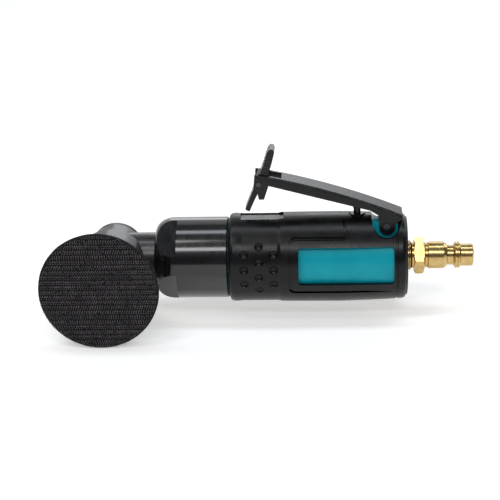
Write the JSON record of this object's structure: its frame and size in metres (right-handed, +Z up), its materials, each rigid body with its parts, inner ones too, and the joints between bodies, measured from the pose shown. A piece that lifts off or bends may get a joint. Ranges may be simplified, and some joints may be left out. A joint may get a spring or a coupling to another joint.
{
  "type": "orbital sander",
  "caption": "Compact right-angle pneumatic orbital sander: round hook-faced pad on an offset spindle, barrel body, dimpled grip, throttle lever with lock, air nipple.",
  "frame": {"origin": "centre of the pad's working face at rest", "axes": "+X along the motor axis towards the air inlet, -Y out of the pad's working face, +Z up, towards the throttle lever"},
  "size_m": [0.1816, 0.0604, 0.0745],
  "materials": {
    "pad_hook": "hook fabric, woven rows of hooks",
    "pad_foam": "closed-cell foam",
    "black_plastic": "moulded",
    "head_metal": "dark satin metal",
    "black_chrome": "polished black chrome",
    "steel": "machined",
    "dark_steel": "blackened",
    "bearing_steel": "ground",
    "brass": "turned",
    "bronze": "sintered",
    "teal_plastic": "moulded",
    "grip_rubber": "soft touch",
    "lever_black": "black coated sheet steel",
    "aluminium": "machined",
    "vane_composite": "fibre composite",
    "felt": "dark felt",
    "seal_rubber": "nitrile"
  },
  "bodies": {
    "housing": {"spindle_bearing_outer": "bearing_steel", "angle_head_housing": "head_metal", "spindle_bush": "bronze", "head_cap": "head_metal", "balancer_shroud": "head_metal", "bearing_retainer": "steel", "pinion_bush": "bronze", "pinion_bearing_outer": "bearing_steel", "clamp_nut": "black_chrome", "motor_housing": "teal_plastic", "grip_sleeve": "grip_rubber", "motor_retaining_ring": "steel", "front_end_plate": "aluminium", "cylinder_liner": "steel", "rear_end_plate": "aluminium", "front_bearing_outer": "bearing_steel", "rear_bearing_outer": "bearing_steel", "inlet_bushing": "steel", "air_nipple": "brass", "inlet_screen": "steel", "muffler": "felt", "rear_cap": "black_plastic", "rear_cap_screws": "steel", "valve_bushing": "lever_black", "valve_seat": "brass", "valve_spring": "steel", "valve_plug": "brass", "lever_pivot_pin": "dark_steel"},
    "rotor": {"rotor": "steel", "vanes": "vane_composite", "front_bearing_inner": "bearing_steel", "front_bearing_balls": "bearing_steel", "rear_bearing_inner": "bearing_steel", "rear_bearing_balls": "bearing_steel", "drive_coupling": "steel", "bevel_pinion": "steel", "pinion_bearing_inner": "bearing_steel", "pinion_bearing_balls": "bearing_steel"},
    "spindle": {"orbit_spindle": "steel", "counterweight": "steel", "spindle_bearing_inner": "bearing_steel", "spindle_bearing_balls": "bearing_steel", "bevel_gear": "steel", "pad_bearing_outer": "bearing_steel"},
    "pad": {"hook_face": "pad_hook", "pad_foam": "pad_foam", "pad_plate": "black_plastic", "pad_stud": "steel", "pad_spindle": "steel", "pad_snap_ring": "steel", "pad_bearing_inner": "bearing_steel", "pad_bearing_balls": "bearing_steel"},
    "lever": {"throttle_lever": "lever_black", "lock_pin": "dark_steel"},
    "lock": {"lock_lever": "lever_black", "lock_spring": "dark_steel"},
    "valve": {"valve_stem": "lever_black", "valve_poppet": "seal_rubber"},
    "regulator": {"air_regulator": "brass"}
  },
  "joints": [
    {"name": "rotor_spin", "type": "hinge", "parent": "housing", "child": "rotor", "pos_m": [0, 0.041, 0], "axis": [1, 0, 0], "continuous": true},
    {"name": "spindle_spin", "type": "hinge", "parent": "housing", "child": "spindle", "pos_m": [0.0012, 0, 0], "axis": [0, 1, 0], "continuous": true},
    {"name": "pad_spin", "type": "hinge", "parent": "spindle", "child": "pad", "pos_m": [0, 0, 0], "axis": [0, 1, 0], "continuous": true},
    {"name": "lever_press", "type": "hinge", "parent": "housing", "child": "lever", "pos_m": [0.1195, 0.041, 0.0152], "axis": [0, -1, 0], "range_deg": [0, 8], "stiffness_Nm_per_rad": 0.5, "springref_deg": -5.73},
    {"name": "lock_flip", "type": "hinge", "parent": "lever", "child": "lock", "pos_m": [0.0654, 0.041, 0.0346], "axis": [0, -1, 0], "range_deg": [0, 85], "stiffness_Nm_per_rad": 0.004, "springref_deg": -17.19},
    {"name": "valve_press", "type": "slide", "parent": "housing", "child": "valve", "axis": [0, 0, -1], "range_m": [0, 0.0024], "stiffness_N_per_m": 20, "springref_m": -0.002, "deforming": ["valve_spring"]},
    {"name": "regulator_turn", "type": "hinge", "parent": "housing", "child": "regulator", "pos_m": [0.1159, 0.041, 0], "axis": [0, 0, -1], "range_deg": [0, 90]}
  ],
  "couplings": [
    {"joint": "spindle_spin", "follows": "rotor_spin", "ratio": 0.75},
    {"joint": "lock_flip", "follows": "lever_press", "ratio": 10.6},
    {"joint": "valve_press", "follows": "lever_press", "m_per_rad": 0.0165}
  ]
}
